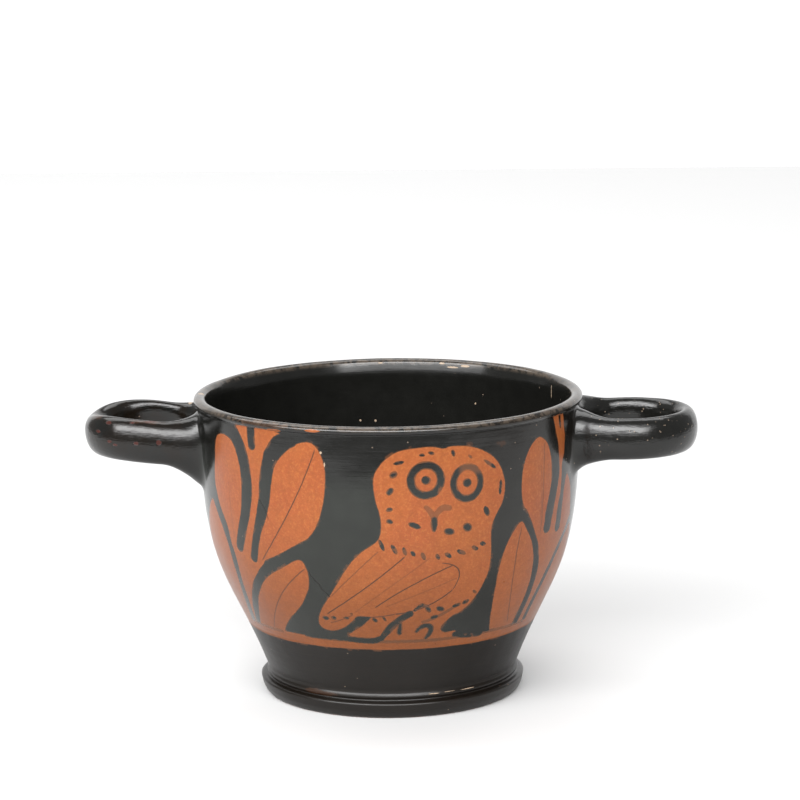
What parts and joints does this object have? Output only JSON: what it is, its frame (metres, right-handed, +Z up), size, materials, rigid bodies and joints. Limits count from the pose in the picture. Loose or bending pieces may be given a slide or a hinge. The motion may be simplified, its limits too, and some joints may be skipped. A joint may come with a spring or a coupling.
{
  "type": "skyphos",
  "caption": "Deep clay drinking cup with a ring foot, two level loop handles below the lip, and a painted owl between olive sprays.",
  "frame": {"origin": "centre of the foot's resting face, on the surface that the cup stands on", "axes": "+X through the two handles, -Y towards the picture side, +Z up through the mouth"},
  "size_m": [0.1622, 0.1024, 0.08],
  "materials": {
    "black_clay": "fired clay, brushed with a black gloss, with figures left in the orange clay"
  },
  "bodies": {
    "root": {"skyphos": "black_clay"}
  },
  "joints": []
}
